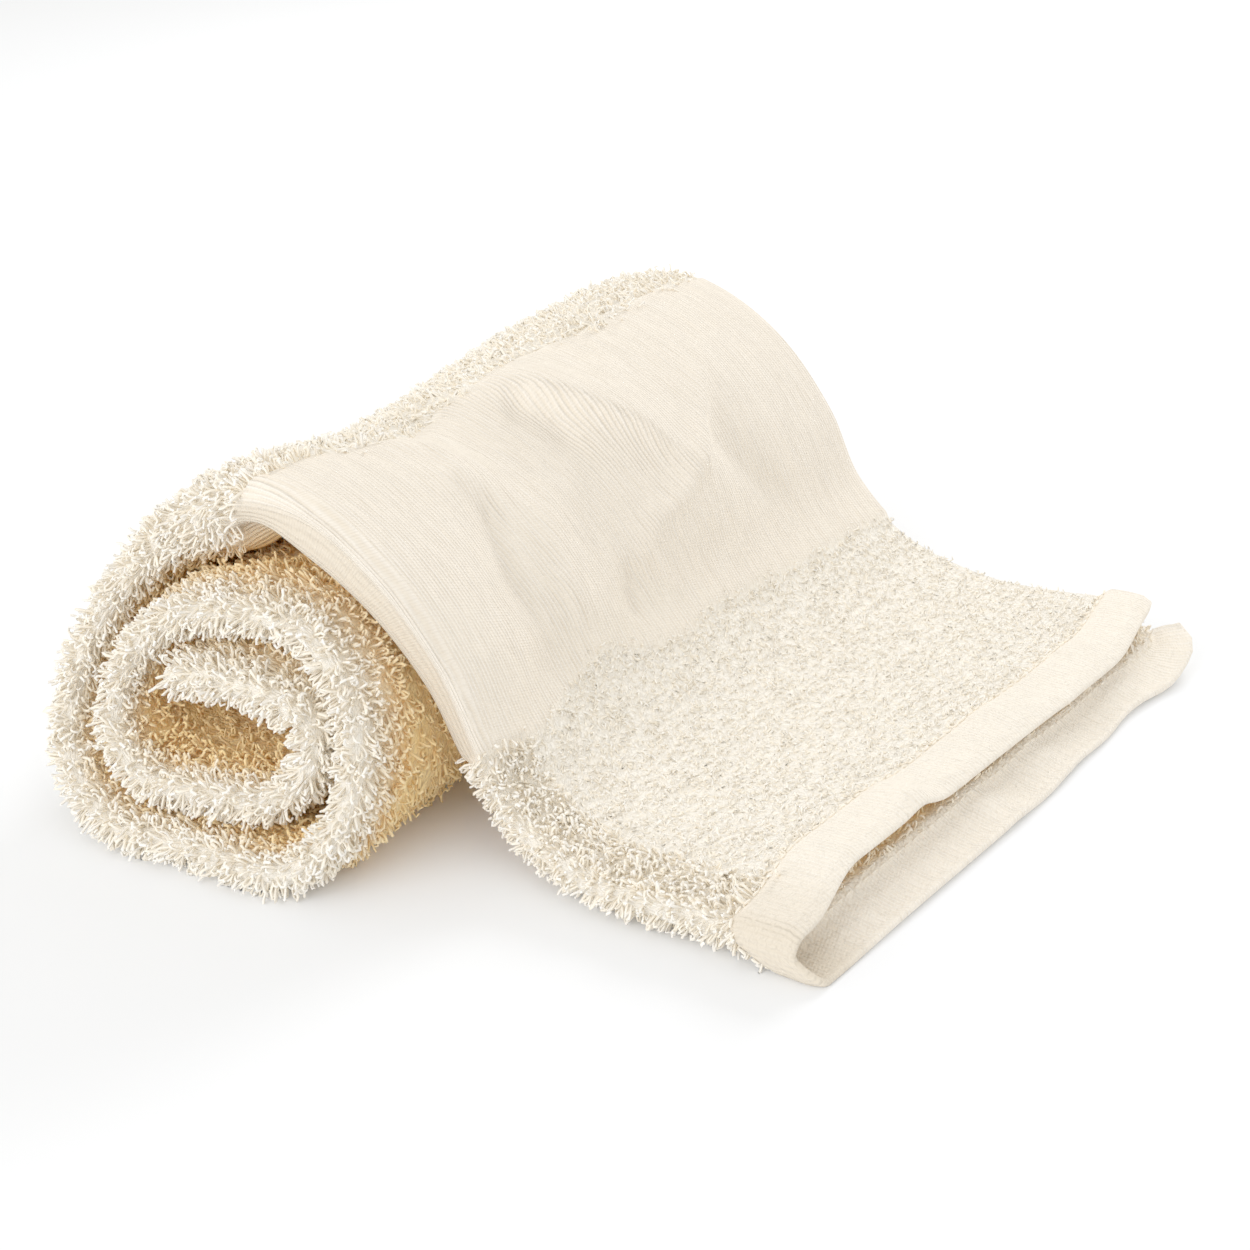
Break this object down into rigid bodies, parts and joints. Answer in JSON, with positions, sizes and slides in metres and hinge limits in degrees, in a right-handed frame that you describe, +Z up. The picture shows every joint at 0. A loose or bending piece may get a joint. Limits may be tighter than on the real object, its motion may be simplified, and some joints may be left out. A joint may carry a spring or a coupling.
{
  "type": "rolled guest towel",
  "caption": "Terry guest towel folded lengthwise and rolled, its loose hemmed end draped over the roll and lying flat beside it.",
  "frame": {"origin": "on the surface it lies on, under the middle of the towel's box", "axes": "+Z up, Y along the roll with its folded edge at -Y, +X towards the hemmed loose end"},
  "size_m": [0.1716, 0.2018, 0.067],
  "materials": {
    "terry": "cream cotton terry with a flat woven band and hem"
  },
  "bodies": {
    "root": {"towel": "terry"}
  },
  "joints": []
}
